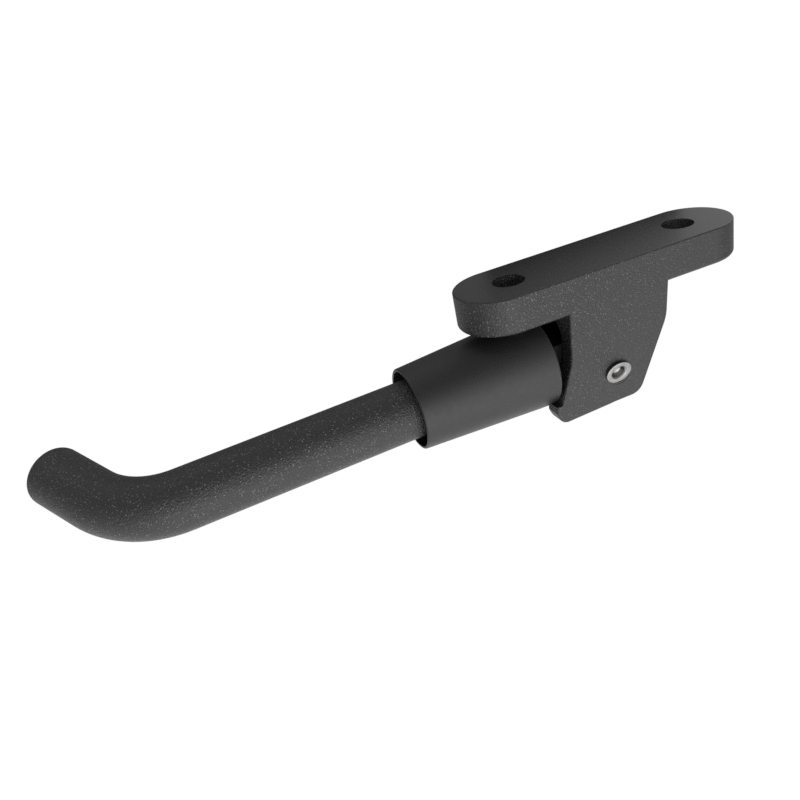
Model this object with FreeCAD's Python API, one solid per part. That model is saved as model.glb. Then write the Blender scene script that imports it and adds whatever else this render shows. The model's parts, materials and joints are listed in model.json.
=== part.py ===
import FreeCAD, Part
import os
from math import acos, atan2, cos, hypot, pi, radians, sin, tan

# Folding kickstand for a scooter, in millimetres, drawn folded as in the photo.
# The origin is the centre of the plate's mounting face, +Z up, +X along the plate away from the foot.
# Distances along the leg are measured from the pivot towards the foot.
Vector = FreeCAD.Vector
tolerance = 1e-6
overrun = 1.0

# Mounting plate
screw_spacing = 40.0
screw_hole_diameter = 6.6
plate_end_margin = 11.4
plate_width = 17.8
plate_thickness = 7.5
plate_top_edge_radius = 0.3
plate_bottom_edge_radius = 0.9

# Leg
folded_droop_deg = 1.6
leg_open_deg = 93.0
leg_radius = 6.0
leg_start = 36.0
bend_start = 89.05
bend_radius = 17.9
bend_deg = 57.9
bend_plane_deg = 18.3
tip_length = 13.05
tip_edge_radius = 2.05

# Sleeve
sleeve_front = 14.5
sleeve_mouth = 42.55
sleeve_taper = 1.45
sleeve_wall = 0.6
sleeve_end_wall = 2.4
sleeve_front_edge_radius = 0.35
sleeve_lip_outer_radius = 0.35
sleeve_lip_inner_radius = 0.15
sleeve_floor_radius = 0.5

# Knuckle: the leg's axis passes above the pivot
pivot_x = -2.55
axis_height = 5.0
eye_radius = 4.2
lug_top_start = 8.0
lug_bottom_start = 9.5
stem_radius = 4.0
spigot_radius = 3.5
spigot_length = 14.0

# Clevis block: corners of its side outline, from the pivot
# The cam lobe's nose has its corners on a circle round the pivot, at angles below the level
front_root_x = -9.7
front_knee_x = -10.5
front_knee_z = 5.8
front_knee_radius = 9.0
nose_top_deg = 11.8
nose_top_radius = 0.8
nose_middle_deg = 22.2
nose_middle_radius = 8.0
nose_bottom_deg = 32.5
nose_bottom_radius = 2.0
bottom_knee_x = -1.5
bottom_knee_z = -6.6
bottom_knee_radius = 20.0
back_bottom_x = 4.95
back_bottom_z = -6.53
back_bottom_radius = 3.4
back_knee_x = 12.35
back_knee_z = 8.35
back_knee_radius = 9.0
back_root_x = 13.4
block_embedding = 3.0
block_edge_radius = 0.5
slot_width = 11.1

# Rivet
rivet_shank_radius = 2.3
rivet_bore_radius = 1.35
rivet_bore_depth = 1.0
rivet_bore_point = 0.25
rivet_bore_floor_radius = 0.25
rivet_ring_radius = 2.65
rivet_ring_height = 0.5
rivet_ring_edge_height = 0.2
rivet_ring_edge_radius = 0.14
rivet_ring_lean_deg = 11.0
rivet_ring_raised_deg = 135.0
rivet_flare_radius = 2.25
rivet_flare_depth = 0.3
rivet_root_radius = 2.05
rivet_root_depth = 0.9
rivet_funnel_radius = 2.3
rivet_funnel_edge_radius = 0.3
rivet_recess_depth = 0.65
rivet_head_radius = 3.6
rivet_head_height = 1.3
rivet_head_rim = 0.4
rivet_head_rim_radius = 0.3
rivet_head_flat_radius = 1.98
rivet_head_crown_radius = 0.8

# Spring
wire_radius = 0.75
spring_turns = 5.5

# Fits
rivet_press_clearance = 0.02
eye_running_clearance = 0.05
rivet_recess_gap = 0.1
slot_side_clearance = 0.35
slot_round_clearance = 0.4
arch_side_drop = 0.25
stem_running_clearance = 0.08
spigot_clearance = 0.01
spigot_end_gap = 0.5
sleeve_leg_gap = 1.9
sleeve_plate_gap = 0.7
sleeve_stop_gap = 0.4
sleeve_nose_gap = 0.2
spring_stem_gap = 0.35
spring_end_gap = 0.3

# Sizes that follow
plate_length = screw_spacing + 2 * plate_end_margin
sleeve_mouth_radius = leg_radius + sleeve_leg_gap + sleeve_wall
sleeve_front_radius = sleeve_mouth_radius + sleeve_taper
pivot_z = -(plate_thickness + sleeve_plate_gap + sleeve_front_radius + axis_height)
slot_arch_centre_z = pivot_z + axis_height + stem_radius - arch_side_drop
lug_front = sleeve_front - sleeve_stop_gap
lug_half_width = slot_width / 2 - slot_side_clearance
nose_reach = sleeve_front - sleeve_nose_gap
spring_mean_radius = stem_radius + spring_stem_gap + wire_radius


def rounded_wire(corners):
    """Closed outline in the XZ plane from corners (x, z, rounding)."""
    count = len(corners)
    ends = []
    for i in range(count):
        here = Vector(corners[i][0], 0, corners[i][1])
        before = Vector(corners[i - 1][0], 0, corners[i - 1][1])
        after = Vector(corners[(i + 1) % count][0], 0, corners[(i + 1) % count][1])
        to_before = (before - here).normalize()
        to_after = (after - here).normalize()
        radius = corners[i][2]
        if radius == 0:
            ends.append((here, None, here))
            continue
        half = acos(max(-1.0, min(1.0, to_before.dot(to_after)))) / 2
        reach = radius / tan(half)
        bisector = (to_before + to_after).normalize()
        middle = here + bisector * (radius / sin(half) - radius)
        ends.append((here + to_before * reach, middle, here + to_after * reach))
    edges = []
    for i in range(count):
        start, middle, stop = ends[i]
        if middle is not None:
            edges.append(Part.Arc(start, middle, stop).toShape())
        following = ends[(i + 1) % count][0]
        if stop.distanceToPoint(following) > tolerance:
            edges.append(Part.LineSegment(stop, following).toShape())
    return Part.Wire(edges)


def slab(wire, half_width):
    """Solid from an XZ outline, half_width to both sides of the middle plane."""
    face = Part.Face(wire)
    face.translate(Vector(0, -half_width, 0))
    return face.extrude(Vector(0, 2 * half_width, 0))


def turned(corners):
    """Solid of revolution about Z from corners (radius, z, rounding)."""
    face = Part.Face(rounded_wire(corners))
    return face.revolve(Vector(0, 0, 0), Vector(0, 0, 1), 360)


def cross_cylinder(radius, x, z):
    """Cylinder across the whole bracket."""
    return Part.makeCylinder(radius, 2 * plate_width, Vector(x, -plate_width, z), Vector(0, 1, 0))


def obround_plate():
    """Plate with round ends, its top face at z = 0."""
    half_width = plate_width / 2
    reach = plate_length / 2 - half_width
    edges = [
        Part.LineSegment(Vector(-reach, -half_width, 0), Vector(reach, -half_width, 0)).toShape(),
        Part.Arc(Vector(reach, -half_width, 0), Vector(reach + half_width, 0, 0),
                 Vector(reach, half_width, 0)).toShape(),
        Part.LineSegment(Vector(reach, half_width, 0), Vector(-reach, half_width, 0)).toShape(),
        Part.Arc(Vector(-reach, half_width, 0), Vector(-reach - half_width, 0, 0),
                 Vector(-reach, -half_width, 0)).toShape(),
    ]
    plate = Part.Face(Part.Wire(edges)).extrude(Vector(0, 0, -plate_thickness))
    top = [e for e in plate.Edges if abs(e.BoundBox.ZMin) < tolerance]
    plate = plate.makeFillet(plate_top_edge_radius, top)
    bottom = [e for e in plate.Edges if abs(e.BoundBox.ZMax + plate_thickness) < tolerance]
    return plate.makeFillet(plate_bottom_edge_radius, bottom)


def nose_corner(angle_deg, rounding):
    """Corner of the cam lobe's nose at an angle below the level."""
    angle = radians(angle_deg)
    return (-nose_reach * cos(angle), -nose_reach * sin(angle), rounding)


def clevis_block():
    """Block below the plate with its cam lobe, flush with the plate's long sides."""
    inside_z = block_embedding - plate_thickness - pivot_z
    corners = [
        (front_root_x, inside_z, 0),
        (front_knee_x, front_knee_z, front_knee_radius),
        nose_corner(nose_top_deg, nose_top_radius),
        nose_corner(nose_middle_deg, nose_middle_radius),
        nose_corner(nose_bottom_deg, nose_bottom_radius),
        (bottom_knee_x, bottom_knee_z, bottom_knee_radius),
        (back_bottom_x, back_bottom_z, back_bottom_radius),
        (back_knee_x, back_knee_z, back_knee_radius),
        (back_root_x, inside_z, 0),
    ]
    block = slab(rounded_wire(corners), plate_width / 2)
    rim = []
    for edge in block.Edges:
        box = edge.BoundBox
        on_side = box.YLength < tolerance
        inside_plate = box.ZMin > inside_z - tolerance
        if on_side and not inside_plate:
            rim.append(edge)
    block = block.makeFillet(block_edge_radius, rim)
    block.translate(Vector(pivot_x, 0, pivot_z))
    return block


def tangent_angle(x, z, radius, turn):
    """Angle of the point where a line from (x, z) touches a circle round the origin."""
    return atan2(z, x) + turn * acos(radius / hypot(x, z))


def lower_edge_angle():
    """Slope of the knuckle's lower edge between its eye and its stem, against the leg's axis."""
    touch = tangent_angle(-lug_bottom_start, axis_height - stem_radius, eye_radius, 1)
    return 3 * pi / 2 - touch


def slot_tool():
    """Space the knuckle swings in: arch-topped, round behind the pivot, open in front and below."""
    far = plate_length
    half_width = slot_width / 2
    back_radius = eye_radius + slot_round_clearance
    lean = lower_edge_angle() - radians(leg_open_deg + folded_droop_deg - 90)
    back_top = Vector(pivot_x + back_radius, 0, 0)
    back_pivot = Vector(pivot_x + back_radius, 0, pivot_z)
    leave = Vector(pivot_x + back_radius * cos(lean), 0, pivot_z - back_radius * sin(lean))
    between = Vector(pivot_x + back_radius * cos(lean / 2), 0, pivot_z - back_radius * sin(lean / 2))
    below = Vector(leave.x - (far + leave.z) * tan(lean), 0, -far)
    edges = [
        Part.LineSegment(Vector(-far, 0, 0), back_top).toShape(),
        Part.LineSegment(back_top, back_pivot).toShape(),
        Part.Arc(back_pivot, between, leave).toShape(),
        Part.LineSegment(leave, below).toShape(),
        Part.LineSegment(below, Vector(-far, 0, -far)).toShape(),
        Part.LineSegment(Vector(-far, 0, -far), Vector(-far, 0, 0)).toShape(),
    ]
    side = slab(Part.Wire(edges), half_width)
    near_foot = Vector(-far, -half_width, -far)
    near_spring = Vector(-far, -half_width, slot_arch_centre_z)
    crown = Vector(-far, 0, slot_arch_centre_z + half_width)
    far_spring = Vector(-far, half_width, slot_arch_centre_z)
    far_foot = Vector(-far, half_width, -far)
    arch = [
        Part.LineSegment(near_foot, near_spring).toShape(),
        Part.Arc(near_spring, crown, far_spring).toShape(),
        Part.LineSegment(far_spring, far_foot).toShape(),
        Part.LineSegment(far_foot, near_foot).toShape(),
    ]
    front = Part.Face(Part.Wire(arch)).extrude(Vector(2 * far, 0, 0))
    return side.common(front)


def make_bracket():
    body = obround_plate().fuse(clevis_block()).removeSplitter()
    body = body.cut(slot_tool())
    for side in (-1, 1):
        under_plate = Vector(side * screw_spacing / 2, 0, -plate_thickness - overrun)
        hole = Part.makeCylinder(screw_hole_diameter / 2, plate_thickness + 2 * overrun, under_plate)
        body = body.cut(hole)
    body = body.cut(cross_cylinder(rivet_shank_radius + rivet_press_clearance, pivot_x, pivot_z))
    recess = cross_cylinder(rivet_ring_radius + rivet_recess_gap, pivot_x, pivot_z)
    recess.translate(Vector(0, rivet_recess_depth - 3 * plate_width / 2, 0))
    return body.cut(recess).removeSplitter()


def lean_rivet_end(shape):
    """Move a shape drawn on Z with the ear's face at z = 0 to the rivet's near end, which is set askew."""
    raised = radians(rivet_ring_raised_deg)
    shape.rotate(Vector(0, 0, 0), Vector(1, 0, 0), -90)
    shape.rotate(Vector(0, 0, 0), Vector(-sin(raised), 0, cos(raised)), -rivet_ring_lean_deg)
    shape.translate(Vector(pivot_x, -plate_width / 2, pivot_z))
    return shape


def make_rivet():
    """Rivet with a formed head on the far ear and its drilled end flared to a ring on the near ear."""
    near = -plate_width / 2
    far = plate_width / 2
    shank = turned([
        (0, near + rivet_flare_depth, 0),
        (0, far + rivet_head_height, 0),
        (rivet_head_flat_radius, far + rivet_head_height, rivet_head_crown_radius),
        (rivet_head_radius, far + rivet_head_rim, rivet_head_rim_radius),
        (rivet_head_radius, far, 0),
        (rivet_shank_radius, far, 0),
        (rivet_shank_radius, near + rivet_flare_depth, 0),
    ])
    shank.rotate(Vector(0, 0, 0), Vector(1, 0, 0), -90)
    shank.translate(Vector(pivot_x, 0, pivot_z))
    flare = turned([
        (0, rivet_root_depth, 0),
        (rivet_root_radius, rivet_root_depth, 0),
        (rivet_flare_radius, rivet_flare_depth, 0),
        (rivet_ring_radius, -rivet_ring_edge_height, rivet_ring_edge_radius),
        (rivet_ring_radius, -rivet_ring_height, rivet_ring_edge_radius),
        (0, -rivet_ring_height, 0),
    ])
    funnel_slope = (rivet_funnel_radius - rivet_bore_radius) / rivet_ring_height
    bore = turned([
        (0, -rivet_ring_height - overrun, 0),
        (rivet_funnel_radius + funnel_slope * overrun, -rivet_ring_height - overrun, 0),
        (rivet_bore_radius, 0, rivet_funnel_edge_radius),
        (rivet_bore_radius, rivet_bore_depth, rivet_bore_floor_radius),
        (0, rivet_bore_depth + rivet_bore_point, 0),
    ])
    return shank.fuse(lean_rivet_end(flare)).cut(lean_rivet_end(bore)).removeSplitter()


def place_on_leg(shape):
    """Move a shape drawn with the pivot at the origin and the leg level to its folded place."""
    shape.rotate(Vector(0, 0, 0), Vector(0, -1, 0), folded_droop_deg)
    shape.translate(Vector(pivot_x, 0, pivot_z))
    return shape


def axial_cylinder(radius, start, stop):
    """Cylinder on the leg's axis between two distances along the leg."""
    return Part.makeCylinder(radius, stop - start, Vector(-start, 0, axis_height), Vector(-1, 0, 0))


def make_knuckle():
    """Lug with the eye in the slot, a stem for the sleeve and spring, and a spigot in the leg."""
    top_z = axis_height + stem_radius
    low_z = axis_height - stem_radius
    upper = tangent_angle(-lug_top_start, top_z, eye_radius, -1)
    lower = tangent_angle(-lug_bottom_start, low_z, eye_radius, 1)
    back = (upper + lower - 2 * pi) / 2
    on_upper, on_lower, on_back = [
        Vector(eye_radius * cos(angle), 0, eye_radius * sin(angle)) for angle in (upper, lower, back)
    ]
    path = [
        on_upper,
        Vector(-lug_top_start, 0, top_z),
        Vector(-lug_front, 0, top_z),
        Vector(-lug_front, 0, low_z),
        Vector(-lug_bottom_start, 0, low_z),
        on_lower,
    ]
    edges = [Part.LineSegment(path[i], path[i + 1]).toShape() for i in range(len(path) - 1)]
    edges.append(Part.Arc(on_lower, on_back, on_upper).toShape())
    lug = slab(Part.Wire(edges), lug_half_width)
    stem = axial_cylinder(stem_radius, lug_front - overrun, leg_start)
    spigot = axial_cylinder(spigot_radius, leg_start - overrun, leg_start + spigot_length)
    knuckle = lug.fuse([stem, spigot]).removeSplitter()
    knuckle = knuckle.cut(cross_cylinder(rivet_shank_radius + eye_running_clearance, 0, 0))
    return place_on_leg(knuckle)


def make_leg():
    """Round bar along a straight, a bend and a short straight tip, with a rounded end."""
    bend = radians(bend_deg)
    plane = radians(bend_plane_deg)
    along = Vector(-1, 0, 0)
    aside = Vector(0, cos(plane), sin(plane))
    start = Vector(-leg_start, 0, axis_height)
    knee = Vector(-bend_start, 0, axis_height)

    def on_bend(angle):
        return knee + along * (bend_radius * sin(angle)) + aside * (bend_radius * (1 - cos(angle)))

    heel = on_bend(bend)
    out = along * cos(bend) + aside * sin(bend)
    toe = heel + out * tip_length
    spine = Part.Wire([
        Part.LineSegment(start, knee).toShape(),
        Part.Arc(knee, on_bend(bend / 2), heel).toShape(),
        Part.LineSegment(heel, toe).toShape(),
    ])
    ring = Part.Wire(Part.Circle(start, along, leg_radius).toShape())
    bar = spine.makePipeShell([ring], True, False)
    tip_edges = [e for e in bar.Edges if e.Closed and e.CenterOfMass.distanceToPoint(toe) < leg_radius / 2]
    bar = bar.makeFillet(tip_edge_radius, tip_edges)
    bore_end = leg_start + spigot_length + spigot_end_gap
    bore = axial_cylinder(spigot_radius + spigot_clearance, leg_start - overrun, bore_end)
    return place_on_leg(bar.cut(bore))


def make_sleeve():
    """Tapered cup: a thin wall, an end wall that slides on the stem, and a rounded mouth."""
    bore = stem_radius + stem_running_clearance
    length = sleeve_mouth - sleeve_front
    floor_radius = sleeve_front_radius - sleeve_taper * sleeve_end_wall / length - sleeve_wall
    sleeve = turned([
        (bore, 0, 0),
        (sleeve_front_radius, 0, sleeve_front_edge_radius),
        (sleeve_mouth_radius, length, sleeve_lip_outer_radius),
        (sleeve_mouth_radius - sleeve_wall, length, sleeve_lip_inner_radius),
        (floor_radius, sleeve_end_wall, sleeve_floor_radius),
        (bore, sleeve_end_wall, 0),
    ])
    sleeve.rotate(Vector(0, 0, 0), Vector(0, 1, 0), -90)
    sleeve.translate(Vector(-sleeve_front, 0, axis_height))
    return place_on_leg(sleeve)


def make_spring():
    """Open-wound compression spring between the sleeve's end wall and the leg's end face."""
    first = sleeve_front + sleeve_end_wall + spring_end_gap + wire_radius
    last = leg_start - spring_end_gap - wire_radius
    height = last - first
    helix = Part.makeHelix(height / spring_turns, height, spring_mean_radius)
    ring = Part.Wire(Part.Circle(Vector(spring_mean_radius, 0, 0), Vector(0, 1, 0), wire_radius).toShape())
    spring = Part.Wire(helix.Edges).makePipeShell([ring], True, True)
    spring.rotate(Vector(0, 0, 0), Vector(0, 1, 0), -90)
    spring.translate(Vector(-first, 0, axis_height))
    return place_on_leg(spring)


os.makedirs("parts", exist_ok=True)
pieces = {
    "bracket": make_bracket(),
    "pivot_rivet": make_rivet(),
    "knuckle": make_knuckle(),
    "leg": make_leg(),
    "spring_sleeve": make_sleeve(),
    "return_spring": make_spring(),
}
for name, shape in pieces.items():
    shape.exportStep("parts/" + name + ".step")
    box = shape.BoundBox
    print(name, shape.isValid(), round(shape.Volume, 1), len(shape.Solids),
          [round(v, 2) for v in (box.XMin, box.XMax, box.YMin, box.YMax, box.ZMin, box.ZMax)])
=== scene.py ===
import json
from math import cos, hypot, pi, radians, sin

import bmesh
import bpy
from mathutils import Matrix, Vector


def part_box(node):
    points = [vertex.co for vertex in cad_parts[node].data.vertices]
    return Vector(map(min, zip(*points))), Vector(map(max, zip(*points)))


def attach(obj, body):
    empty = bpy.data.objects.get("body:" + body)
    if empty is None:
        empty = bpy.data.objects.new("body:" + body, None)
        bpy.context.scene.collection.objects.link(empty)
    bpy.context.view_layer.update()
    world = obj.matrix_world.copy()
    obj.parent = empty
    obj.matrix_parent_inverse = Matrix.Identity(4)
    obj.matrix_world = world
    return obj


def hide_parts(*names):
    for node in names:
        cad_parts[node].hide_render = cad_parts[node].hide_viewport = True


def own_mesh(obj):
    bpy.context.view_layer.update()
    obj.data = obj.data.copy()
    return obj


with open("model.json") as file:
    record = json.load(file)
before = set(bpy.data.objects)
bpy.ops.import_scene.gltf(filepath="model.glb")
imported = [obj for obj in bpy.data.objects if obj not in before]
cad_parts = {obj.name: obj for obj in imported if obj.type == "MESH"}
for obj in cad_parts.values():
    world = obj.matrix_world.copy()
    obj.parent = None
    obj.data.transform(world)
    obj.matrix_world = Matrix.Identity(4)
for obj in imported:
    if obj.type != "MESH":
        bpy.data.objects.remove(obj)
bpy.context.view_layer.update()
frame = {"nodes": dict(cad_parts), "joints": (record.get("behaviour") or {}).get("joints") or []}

# Camera
# It stands close to the stand, above it and towards the foot, and is rolled so that the leg falls to the
# left. The lens is as long as the film is wide, so near parts loom as they do in a close product picture.
mm = 0.001
camera_place = Vector((-85.22, -134.35, 55.67)) * mm
camera_turn = radians(-15.98)
camera_dip = radians(27.35)
camera_roll = radians(-12.55)
film_width = 36.0
nearest_seen = 0.01
farthest_seen = 100.0


def new_object(name, data):
    """An object in the scene that holds this mesh or camera."""
    made = bpy.data.objects.new(name, data)
    bpy.context.scene.collection.objects.link(made)
    return made


camera_data = bpy.data.cameras.new("product_camera")
camera_data.sensor_width = film_width
camera_data.lens = film_width
camera_data.clip_start = nearest_seen
camera_data.clip_end = farthest_seen
camera = new_object("product_camera", camera_data)
camera.matrix_world = (
    Matrix.Translation(camera_place)
    @ Matrix.Rotation(camera_turn, 4, "Z")
    @ Matrix.Rotation(pi / 2 - camera_dip, 4, "X")
    @ Matrix.Rotation(camera_roll, 4, "Z")
)
bpy.context.scene.camera = camera
bpy.context.scene.view_settings.view_transform = "Standard"
# The coat's grain is a pixel or two wide, and a denoiser would wipe it out.
bpy.context.scene.cycles.use_denoising = False

# Studio
# A white light table, lower than the foot reaches when the leg is open, seen against a white sweep. The
# light is a bright table below, a dim room above and softboxes low in front, at both sides and high behind.
# A black card behind the plate, which only reflections show, darkens the far side of the plate's top.
white = "#ffffff"
picture_white = 1.0
table_z = -0.15
table_reach = 30.0
table_light = 1.12
room_light = 0.17
table_full = -0.8
table_edge = -0.1
softboxes = {
    "front": {"right": 2, "up": -12, "light": 2.9, "focus": 5.0},
    "left": {"right": -92, "up": -5, "light": 0.7, "focus": 8.0},
    "right": {"right": 110, "up": 28, "light": 1.3, "focus": 8.0},
    "overhead": {"right": -132, "up": 65, "light": 1.0, "focus": 8.0},
}
card_left = -4 * mm
card_right = 56 * mm
card_bottom = -10 * mm
card_top = 20.4 * mm
card_behind = 45 * mm
card_light = 0.02


def linear(hex_colour):
    """An sRGB hex colour as linear red, green, blue and alpha."""
    parts = [int(hex_colour[i:i + 2], 16) / 255 for i in (1, 3, 5)]
    return [p / 12.92 if p <= 0.04045 else ((p + 0.055) / 1.055) ** 2.4 for p in parts] + [1.0]


def add_node(tree, kind, inputs, **settings):
    """A node with its settings, and its inputs set or linked."""
    made = tree.nodes.new(kind)
    for name, value in settings.items():
        setattr(made, name, value)
    for socket, value in inputs.items():
        if isinstance(value, bpy.types.NodeSocket):
            tree.links.new(value, made.inputs[socket])
        else:
            made.inputs[socket].default_value = value
    return made


def new_material(name):
    """An empty procedural material and its node tree."""
    made = bpy.data.materials.new(name)
    made.use_nodes = True
    made.node_tree.nodes.clear()
    return made, made.node_tree


def studio_sheet(name, corners, finish, light):
    """A flat sheet that gives off an even light."""
    mesh = bpy.data.meshes.new(name)
    mesh.from_pydata(corners, [], [(0, 1, 2, 3)])
    material, tree = new_material(finish)
    glow = add_node(tree, "ShaderNodeEmission", {"Color": linear(white), "Strength": light})
    add_node(tree, "ShaderNodeOutputMaterial", {"Surface": glow.outputs["Emission"]})
    mesh.materials.append(material)
    sheet = new_object(name, mesh)
    return sheet


table_corners = [
    (x * table_reach, y * table_reach, table_z)
    for x, y in ((-1, -1), (1, -1), (1, 1), (-1, 1))
]
table = studio_sheet("light_table", table_corners, "lit_opal_glass", picture_white)
table.visible_diffuse = False
table.visible_glossy = False
table.visible_shadow = False

card_corners = [
    (card_left, card_behind, card_bottom),
    (card_right, card_behind, card_bottom),
    (card_right, card_behind, card_top),
    (card_left, card_behind, card_top),
]
card = studio_sheet("black_card", card_corners, "black_flock", card_light)
card.visible_camera = False
card.visible_diffuse = False
card.visible_shadow = False

world = bpy.data.worlds.new("studio_surround")
bpy.context.scene.world = world
world.use_nodes = True
world_tree = world.node_tree
world_tree.nodes.clear()
direction = add_node(world_tree, "ShaderNodeTexCoord", {}).outputs["Generated"]
height = add_node(world_tree, "ShaderNodeSeparateXYZ", {"Vector": direction})
level = add_node(
    world_tree, "ShaderNodeMapRange",
    {"Value": height.outputs["Z"], "From Min": table_full, "From Max": table_edge,
     "To Min": table_light, "To Max": room_light},
    interpolation_type="SMOOTHSTEP",
).outputs["Result"]
for softbox in softboxes.values():
    right = radians(softbox["right"])
    up = radians(softbox["up"])
    aim = (cos(up) * sin(right), -cos(up) * cos(right), sin(up))
    facing = add_node(
        world_tree, "ShaderNodeVectorMath",
        {0: direction, 1: aim},
        operation="DOT_PRODUCT",
    )
    in_front = add_node(
        world_tree, "ShaderNodeMath",
        {0: facing.outputs["Value"], 1: 0.0},
        operation="MAXIMUM",
    )
    spread = add_node(
        world_tree, "ShaderNodeMath",
        {0: in_front.outputs["Value"], 1: softbox["focus"]},
        operation="POWER",
    )
    level = add_node(
        world_tree, "ShaderNodeMath",
        {0: spread.outputs["Value"], 1: softbox["light"], 2: level},
        operation="MULTIPLY_ADD",
    ).outputs["Value"]
seen = add_node(world_tree, "ShaderNodeLightPath", {})
shown = add_node(
    world_tree, "ShaderNodeMix",
    {"Factor": seen.outputs["Is Camera Ray"], "A": level, "B": picture_white},
)
sky = add_node(
    world_tree, "ShaderNodeBackground",
    {"Color": linear(white), "Strength": shown.outputs["Result"]},
)
add_node(world_tree, "ShaderNodeOutputWorld", {"Surface": sky.outputs["Background"]})

# Bracket
# One aluminium die casting: the mounting plate and the clevis with its cam lobe. It is powder coated in
# sandy black, with painted glints on a few grains. Its grain is thinner and its painted glints fainter low
# down and towards the back, and its mounting face is smooth with hardly any painted glints.
grain_size = 0.33 * mm
grain_height = 0.19 * mm
grain_detail = 1.5
grain_breakup = 0.6
# Spacing and size of the painted glints, pale grain tops that stand in for the light they catch.
glint_spacing = 0.5 * mm
glint_core = 0.1
glint_rim = 0.3
coat_black = "#252526"
painted_glint_grey = "#808082"
coat_ior = 1.5
coat_roughness = 0.45
smooth_roughness = 0.27
full_grain = 1.0
smooth_grain = 0.1
thin_grain = 0.45
thin_towards = (0.8, 0.0, -0.6)
thin_start = -4 * mm
thin_end = 16 * mm
face_up_start = 0.8
face_up_full = 0.98
nose_inside = 10.0 * mm
nose_outside = 12.5 * mm
nose_top = 2.6 * mm
nose_middle = 3.6 * mm
nose_push = Vector((-1.6, 0, 0.45)) * mm
flank_relief = Vector((0.25, 0, 0)) * mm
recess_reach = 4.2 * mm
recess_deepest = 0.9 * mm
recess_depth = 0.05 * mm


def sandy_powder_coat(name, on_casting):
    """Sand-texture polyester powder: matt charcoal grains that break up the light, a few with a painted
    glint.
    """
    material, tree = new_material(name)
    place = add_node(tree, "ShaderNodeTexCoord", {})
    grains = add_node(
        tree, "ShaderNodeTexNoise",
        {"Vector": place.outputs["Object"], "Scale": 1 / grain_size,
         "Detail": grain_detail, "Roughness": grain_breakup},
    )
    # Painted glints: a few grains are painted pale, as if they caught the light.
    glint_cells = add_node(
        tree, "ShaderNodeTexVoronoi",
        {"Vector": place.outputs["Object"], "Scale": 1 / glint_spacing},
    )
    size = add_node(
        tree, "ShaderNodeMapRange",
        {"Value": glint_cells.outputs["Distance"], "From Min": glint_core, "From Max": glint_rim,
         "To Min": 1.0, "To Max": 0.0},
    )
    chance = add_node(tree, "ShaderNodeSeparateColor", {"Color": glint_cells.outputs["Color"]})
    painted_glint = add_node(
        tree, "ShaderNodeMath",
        {0: size.outputs["Result"], 1: chance.outputs["Red"]},
        operation="MULTIPLY",
    ).outputs["Value"]
    grain = full_grain
    roughness = coat_roughness
    if on_casting:
        facing = add_node(tree, "ShaderNodeSeparateXYZ", {"Vector": place.outputs["Normal"]})
        back = add_node(
            tree, "ShaderNodeVectorMath",
            {0: place.outputs["Object"], 1: thin_towards},
            operation="DOT_PRODUCT",
        )
        grain_and_glint_strength = add_node(
            tree, "ShaderNodeMapRange",
            {"Value": back.outputs["Value"], "From Min": thin_start, "From Max": thin_end,
             "To Min": full_grain, "To Max": thin_grain},
        )
        sandy = add_node(
            tree, "ShaderNodeMapRange",
            {"Value": facing.outputs["Z"], "From Min": face_up_start, "From Max": face_up_full,
             "To Min": grain_and_glint_strength.outputs["Result"], "To Max": smooth_grain},
        )
        grain = sandy.outputs["Result"]
        # The painted glints fade with the grain: low down, towards the back and on the mounting face.
        painted_glint = add_node(
            tree, "ShaderNodeMath",
            {0: painted_glint, 1: grain},
            operation="MULTIPLY",
        ).outputs["Value"]
        matt = add_node(
            tree, "ShaderNodeMapRange",
            {"Value": facing.outputs["Z"], "From Min": face_up_start, "From Max": face_up_full,
             "To Min": coat_roughness, "To Max": smooth_roughness},
        )
        roughness = matt.outputs["Result"]
    colour = add_node(
        tree, "ShaderNodeMix",
        {"Factor": painted_glint, "A": linear(coat_black), "B": linear(painted_glint_grey)},
        data_type="RGBA",
    )
    bump = add_node(
        tree, "ShaderNodeBump",
        {"Height": grains.outputs["Fac"], "Strength": grain, "Distance": grain_height},
    )
    surface = add_node(
        tree, "ShaderNodeBsdfPrincipled",
        {"Base Color": colour.outputs["Result"], "Roughness": roughness, "IOR": coat_ior,
         "Normal": bump.outputs["Normal"]},
    )
    add_node(tree, "ShaderNodeOutputMaterial", {"Surface": surface.outputs["BSDF"]})
    return material


def smooth_step(value, low, high):
    """Goes from 0 at low to 1 at high, level at both ends."""
    t = min(max((value - low) / (high - low), 0.0), 1.0)
    return t * t * (3 - 2 * t)


joints = {joint["name"]: joint for joint in frame["joints"]}
pivot = Vector(joints["leg_fold"]["pos_m"])
ear_face = -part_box("bracket")[0][1]
bracket = new_object("cast_bracket", frame["nodes"]["bracket"].data.copy())
# The lobe's nose is fuller than on the solid, the flank above it stands back a little, and the recess
# under the rivet's ring is shallower.
for vertex in bracket.data.vertices:
    below = pivot.z - vertex.co.z
    away = hypot(vertex.co.x - pivot.x, below)
    ahead = smooth_step(away, nose_inside, nose_outside)
    if below > 0 and vertex.co.x < pivot.x:
        full = ahead * smooth_step(below, nose_top, nose_middle)
        relief = ahead - full
        vertex.co += nose_push * full + flank_relief * relief
    if away < recess_reach and recess_depth < vertex.co.y + ear_face < recess_deepest:
        vertex.co.y = recess_depth - ear_face
bracket.data.materials[0] = sandy_powder_coat("sandy_powder_coat_on_casting", True)
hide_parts("bracket")
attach(bracket, "bracket")
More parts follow.
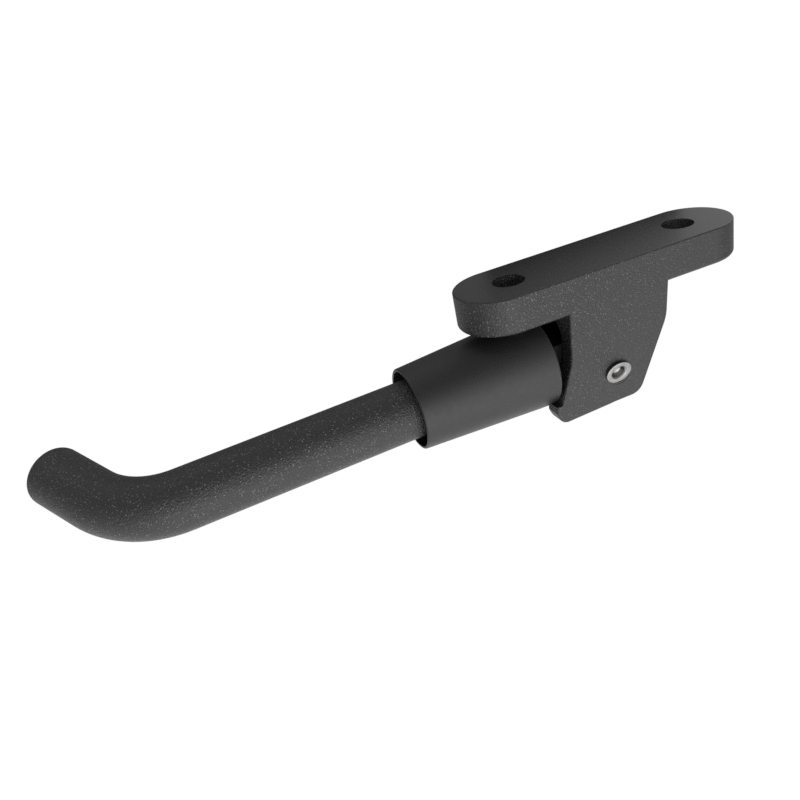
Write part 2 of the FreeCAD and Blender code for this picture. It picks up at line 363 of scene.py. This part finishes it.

# Rivet
# A steel rivet across the clevis, with a domed head behind and a drilled end that is flared to a flat ring
# in front. The ring was set askew, so it stands out at the top. Its face is bright zinc plate, a clear grey
# shine with faint turning marks. Its side is given the bracket's black coat as painted shade, the shadow in
# the gap under the ring's raised edge.
ring_radius = 2.93 * mm
ring_oval = 0.82
ring_edge = 0.12 * mm
ring_height = 0.45 * mm
ring_aside = Vector((-0.2, 0, 0.1)) * mm
ring_lean = radians(12.5)
ring_seat = 0.2 * mm
bore_mouth_radius = 1.85 * mm
bore_mouth_depth = 0.3 * mm
bore_radius = 1.48 * mm
bore_depth = 1.3 * mm
bore_floor_radius = 1.15 * mm
bore_point = 0.4 * mm
bore_rounding = 0.12 * mm
bore_floor_rounding = 0.2 * mm
shank_radius = 2.3 * mm
shank_start = 1.2 * mm
head_radius = 3.6 * mm
head_rim = 0.4 * mm
head_height = 1.3 * mm
head_flat_radius = 1.98 * mm
head_edge = 0.35 * mm
turns = 96
weld_reach = 0.001 * mm
crease = radians(35)
zinc_grey = "#a6a5a4"
zinc_shade = "#777675"
zinc_dull_roughness = 0.36
zinc_bright_roughness = 0.26
cloud_size = 0.9 * mm
cloud_detail = 3.0
turning_mark = 0.3 * mm
mark_height = 0.012 * mm
mark_strength = 0.5
mark_waver = 1.2
mark_detail = 2.0
# The wave pattern runs through this many radians in each unit of its scaled coordinates.
wave_rate = 20
# Most of a noise pattern's values lie between these two.
noise_low = 0.3
noise_high = 0.7


def rounded(corners, steps=4):
    """Points of a lathe profile. A corner is a radius, a place along the axis and its rounding's reach."""
    points = []
    for i, (radius, along, reach) in enumerate(corners):
        corner = Vector((radius, along))
        if reach == 0:
            points.append(corner)
            continue
        before = Vector(corners[i - 1][:2])
        after = Vector(corners[i + 1][:2])
        start = corner + (before - corner).normalized() * reach
        end = corner + (after - corner).normalized() * reach
        for step in range(steps + 1):
            t = step / steps
            points.append(start * (1 - t) ** 2 + corner * 2 * t * (1 - t) + end * t ** 2)
    return points


ring_profile = rounded([
    (0, bore_depth + bore_point, 0),
    (bore_floor_radius, bore_depth, bore_floor_rounding),
    (bore_radius, bore_mouth_depth, bore_rounding),
    (bore_mouth_radius, 0, bore_rounding),
    (ring_radius, 0, ring_edge),
    (ring_radius, 2 * ring_edge, 0),
])
shank_profile = rounded([
    (shank_radius, -ear_face + shank_start, 0),
    (shank_radius, ear_face, 0),
    (head_radius, ear_face, 0),
    (head_radius, ear_face + head_rim, head_edge),
    (head_flat_radius, ear_face + head_height, 2 * head_edge),
    (0, ear_face + head_height, 0),
])
ring_centre = pivot + ring_aside - Vector((0, ear_face + ring_height, 0))
ring_tilt = Matrix.Rotation(ring_lean, 3, "X")
rivet_points = []
for turn in range(turns):
    angle = 2 * pi * turn / turns
    out = Vector((cos(angle), 0, sin(angle)))
    oval_out = Vector((out.x, 0, out.z * ring_oval))
    for point in ring_profile:
        rivet_points.append(ring_centre + ring_tilt @ (oval_out * point.x + Vector((0, point.y, 0))))
    side = rivet_points[-1]
    rivet_points.append(Vector((side.x, ring_seat - ear_face, side.z)))
    for point in shank_profile:
        rivet_points.append(pivot + out * point.x + Vector((0, point.y, 0)))
row = len(rivet_points) // turns
rivet_faces = []
for turn in range(turns):
    here = turn * row
    following = (turn + 1) % turns * row
    for i in range(row - 1):
        rivet_faces.append((here + i, following + i, following + i + 1, here + i + 1))
rivet_mesh = bpy.data.meshes.new("set_rivet")
rivet_mesh.from_pydata(rivet_points, [], rivet_faces)
# The ring's side takes the bracket's black coat: painted shade for the gap under the raised edge.
ring_side = len(ring_profile) - 1
for i, face in enumerate(rivet_mesh.polygons):
    if i % (row - 1) == ring_side:
        face.material_index = 1
shape = bmesh.new()
shape.from_mesh(rivet_mesh)
bmesh.ops.remove_doubles(shape, verts=shape.verts, dist=weld_reach)
bmesh.ops.recalc_face_normals(shape, faces=shape.faces)
shape.to_mesh(rivet_mesh)
shape.free()
rivet_mesh.shade_smooth()
rivet_mesh.set_sharp_from_angle(angle=crease)
rivet = new_object("set_rivet", rivet_mesh)

zinc, zinc_tree = new_material("bright_zinc_plate")
zinc_place = add_node(zinc_tree, "ShaderNodeTexCoord", {})
from_pivot = add_node(
    zinc_tree, "ShaderNodeVectorMath",
    {0: zinc_place.outputs["Object"], 1: pivot},
    operation="SUBTRACT",
)
# The real marks are finer than a pixel, so they are drawn coarser to show.
marks = add_node(
    zinc_tree, "ShaderNodeTexWave",
    {"Vector": from_pivot.outputs["Vector"], "Scale": 2 * pi / (wave_rate * turning_mark),
     "Distortion": mark_waver, "Detail": mark_detail},
    wave_type="RINGS", rings_direction="Y",
)
cloud = add_node(
    zinc_tree, "ShaderNodeTexNoise",
    {"Vector": from_pivot.outputs["Vector"], "Scale": 1 / cloud_size, "Detail": cloud_detail},
)
zinc_colour = add_node(
    zinc_tree, "ShaderNodeMix",
    {"Factor": cloud.outputs["Fac"], "A": linear(zinc_shade), "B": linear(zinc_grey)},
    data_type="RGBA",
)
zinc_roughness = add_node(
    zinc_tree, "ShaderNodeMapRange",
    {"Value": cloud.outputs["Fac"], "From Min": noise_low, "From Max": noise_high,
     "To Min": zinc_dull_roughness, "To Max": zinc_bright_roughness},
)
marks_bump = add_node(
    zinc_tree, "ShaderNodeBump",
    {"Height": marks.outputs["Fac"], "Strength": mark_strength, "Distance": mark_height},
)
zinc_surface = add_node(
    zinc_tree, "ShaderNodeBsdfPrincipled",
    {"Base Color": zinc_colour.outputs["Result"], "Metallic": 1.0,
     "Roughness": zinc_roughness.outputs["Result"], "Normal": marks_bump.outputs["Normal"]},
)
add_node(zinc_tree, "ShaderNodeOutputMaterial", {"Surface": zinc_surface.outputs["BSDF"]})
rivet_mesh.materials.append(zinc)
rivet_mesh.materials.append(bracket.data.materials[0])
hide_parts("pivot_rivet")
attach(rivet, "bracket")

# Knuckle
# A forged steel lug that turns on the rivet inside the slot, with a round stem that is pressed into the leg.
# It is black oxide finished and oiled: close to black, a little blotchy, with hardly any shine.
# Its near-black is partly painted shade, made darker so that the slot it sits in reads as shadow.
# Darker than oxide alone: partly painted shade for the slot around the knuckle.
oxide_and_shade_black = "#070707"
oxide_worn = "#101011"
oxide_ior = 1.5
oxide_shine = 0.15
oxide_matt_roughness = 0.72
oxide_worn_roughness = 0.58
blotch_size = 1.5 * mm
blotch_height = 0.05 * mm
blotch_strength = 0.4
blotch_detail = 4.0
blotch_breakup = 0.6
knuckle = frame["nodes"]["knuckle"]
oxide, oxide_tree = new_material("black_oxide_and_slot_shade")
oxide_place = add_node(oxide_tree, "ShaderNodeTexCoord", {})
blotches = add_node(
    oxide_tree, "ShaderNodeTexNoise",
    {"Vector": oxide_place.outputs["Object"], "Scale": 1 / blotch_size,
     "Detail": blotch_detail, "Roughness": blotch_breakup},
)
oxide_colour = add_node(
    oxide_tree, "ShaderNodeMix",
    {"Factor": blotches.outputs["Fac"], "A": linear(oxide_and_shade_black), "B": linear(oxide_worn)},
    data_type="RGBA",
)
oxide_roughness = add_node(
    oxide_tree, "ShaderNodeMapRange",
    {"Value": blotches.outputs["Fac"], "From Min": noise_low, "From Max": noise_high,
     "To Min": oxide_matt_roughness, "To Max": oxide_worn_roughness},
)
oxide_bump = add_node(
    oxide_tree, "ShaderNodeBump",
    {"Height": blotches.outputs["Fac"], "Strength": blotch_strength, "Distance": blotch_height},
)
oxide_surface = add_node(
    oxide_tree, "ShaderNodeBsdfPrincipled",
    {"Base Color": oxide_colour.outputs["Result"], "Roughness": oxide_roughness.outputs["Result"],
     "IOR": oxide_ior, "Specular IOR Level": oxide_shine, "Normal": oxide_bump.outputs["Normal"]},
)
add_node(oxide_tree, "ShaderNodeOutputMaterial", {"Surface": oxide_surface.outputs["BSDF"]})
knuckle.data.materials[0] = oxide

# Leg
# A round steel bar bent to one side near the foot, with a rounded end.
# It has the same sandy powder coat as the bracket, all round.
leg = frame["nodes"]["leg"]
leg.data.materials[0] = sandy_powder_coat("sandy_powder_coat_on_bar", False)

# Spring
# Hard-drawn spring wire wound round the stem inside the sleeve, between the sleeve's end wall and the leg.
# It is left as drawn with a film of oil: dull grey steel with brown stains. It shortens as the sleeve is
# drawn back.
wire_grey = "#6a6660"
wire_stain = "#4b4235"
wire_clean_roughness = 0.28
wire_stained_roughness = 0.46
stain_size = 2.5 * mm
stain_detail = 5.0
stain_start = 0.45
stain_full = 0.65
slide = Vector(joints["sleeve_slide"]["axis"])
spring = new_object("coil_spring", frame["nodes"]["return_spring"].data.copy())
wire, wire_tree = new_material("oiled_spring_wire")
wire_place = add_node(wire_tree, "ShaderNodeTexCoord", {})
stains = add_node(
    wire_tree, "ShaderNodeTexNoise",
    {"Vector": wire_place.outputs["Object"], "Scale": 1 / stain_size, "Detail": stain_detail},
)
stained = add_node(
    wire_tree, "ShaderNodeMapRange",
    {"Value": stains.outputs["Fac"], "From Min": stain_start, "From Max": stain_full},
)
wire_colour = add_node(
    wire_tree, "ShaderNodeMix",
    {"Factor": stained.outputs["Result"], "A": linear(wire_grey), "B": linear(wire_stain)},
    data_type="RGBA",
)
wire_roughness = add_node(
    wire_tree, "ShaderNodeMapRange",
    {"Value": stains.outputs["Fac"], "From Min": noise_low, "From Max": noise_high,
     "To Min": wire_clean_roughness, "To Max": wire_stained_roughness},
)
wire_surface = add_node(
    wire_tree, "ShaderNodeBsdfPrincipled",
    {"Base Color": wire_colour.outputs["Result"], "Metallic": 1.0,
     "Roughness": wire_roughness.outputs["Result"]},
)
add_node(wire_tree, "ShaderNodeOutputMaterial", {"Surface": wire_surface.outputs["BSDF"]})
spring.data.materials[0] = wire
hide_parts("return_spring")
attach(spring, "leg")
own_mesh(spring)

# Sleeve
# A tapered steel cup that slides on the knuckle's stem and is pushed to the bracket by the spring. It is
# turned smooth and finished in satin black enamel, which has a soft even sheen, with a painted highlight
# round the edge that meets the bracket.
sleeve_black = "#1f1f1f"
# The paler grey is a painted highlight along the rim that meets the bracket.
sleeve_rim_highlight = "#3c3c3c"
enamel_ior = 1.5
enamel_low_roughness = 0.45
enamel_high_roughness = 0.51
peel_size = 1.2 * mm
peel_height = 0.01 * mm
peel_strength = 0.3
peel_detail = 3.0
rim_highlight_width = 0.5 * mm
sleeve_reach = 1.0 * mm
sleeve_edge = 0.8 * mm
rim_inside = 7.0 * mm
sleeve = new_object("cup_sleeve", frame["nodes"]["spring_sleeve"].data.copy())
cup_end = min(slide.dot(vertex.co) for vertex in sleeve.data.vertices)
sleeve_end = cup_end - sleeve_reach
end_vertices = [vertex for vertex in sleeve.data.vertices if slide.dot(vertex.co) < cup_end + sleeve_edge]
end_centre = sum((vertex.co for vertex in end_vertices), Vector()) / len(end_vertices)
# The rim reaches further than on the solid, so that it rests against the cam lobe.
for vertex in end_vertices:
    if (vertex.co - end_centre).cross(slide).length > rim_inside:
        vertex.co -= slide * sleeve_reach
satin, satin_tree = new_material("satin_black_enamel")
sleeve_place = add_node(satin_tree, "ShaderNodeTexCoord", {})
peel = add_node(
    satin_tree, "ShaderNodeTexNoise",
    {"Vector": sleeve_place.outputs["Object"], "Scale": 1 / peel_size, "Detail": peel_detail},
)
along_slide = add_node(
    satin_tree, "ShaderNodeVectorMath",
    {0: sleeve_place.outputs["Object"], 1: slide},
    operation="DOT_PRODUCT",
)
# A painted highlight in a narrow band along the rim that meets the bracket.
painted_rim_highlight = add_node(
    satin_tree, "ShaderNodeMapRange",
    {"Value": along_slide.outputs["Value"], "From Min": sleeve_end, "From Max": sleeve_end + rim_highlight_width,
     "To Min": 1.0, "To Max": 0.0},
)
sleeve_colour = add_node(
    satin_tree, "ShaderNodeMix",
    {"Factor": painted_rim_highlight.outputs["Result"], "A": linear(sleeve_black), "B": linear(sleeve_rim_highlight)},
    data_type="RGBA",
)
enamel_roughness = add_node(
    satin_tree, "ShaderNodeMapRange",
    {"Value": peel.outputs["Fac"], "From Min": noise_low, "From Max": noise_high,
     "To Min": enamel_low_roughness, "To Max": enamel_high_roughness},
)
peel_bump = add_node(
    satin_tree, "ShaderNodeBump",
    {"Height": peel.outputs["Fac"], "Strength": peel_strength, "Distance": peel_height},
)
satin_surface = add_node(
    satin_tree, "ShaderNodeBsdfPrincipled",
    {"Base Color": sleeve_colour.outputs["Result"], "Roughness": enamel_roughness.outputs["Result"],
     "IOR": enamel_ior, "Normal": peel_bump.outputs["Normal"]},
)
add_node(satin_tree, "ShaderNodeOutputMaterial", {"Surface": satin_surface.outputs["BSDF"]})
sleeve.data.materials[0] = satin
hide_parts("spring_sleeve")
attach(sleeve, "sleeve")
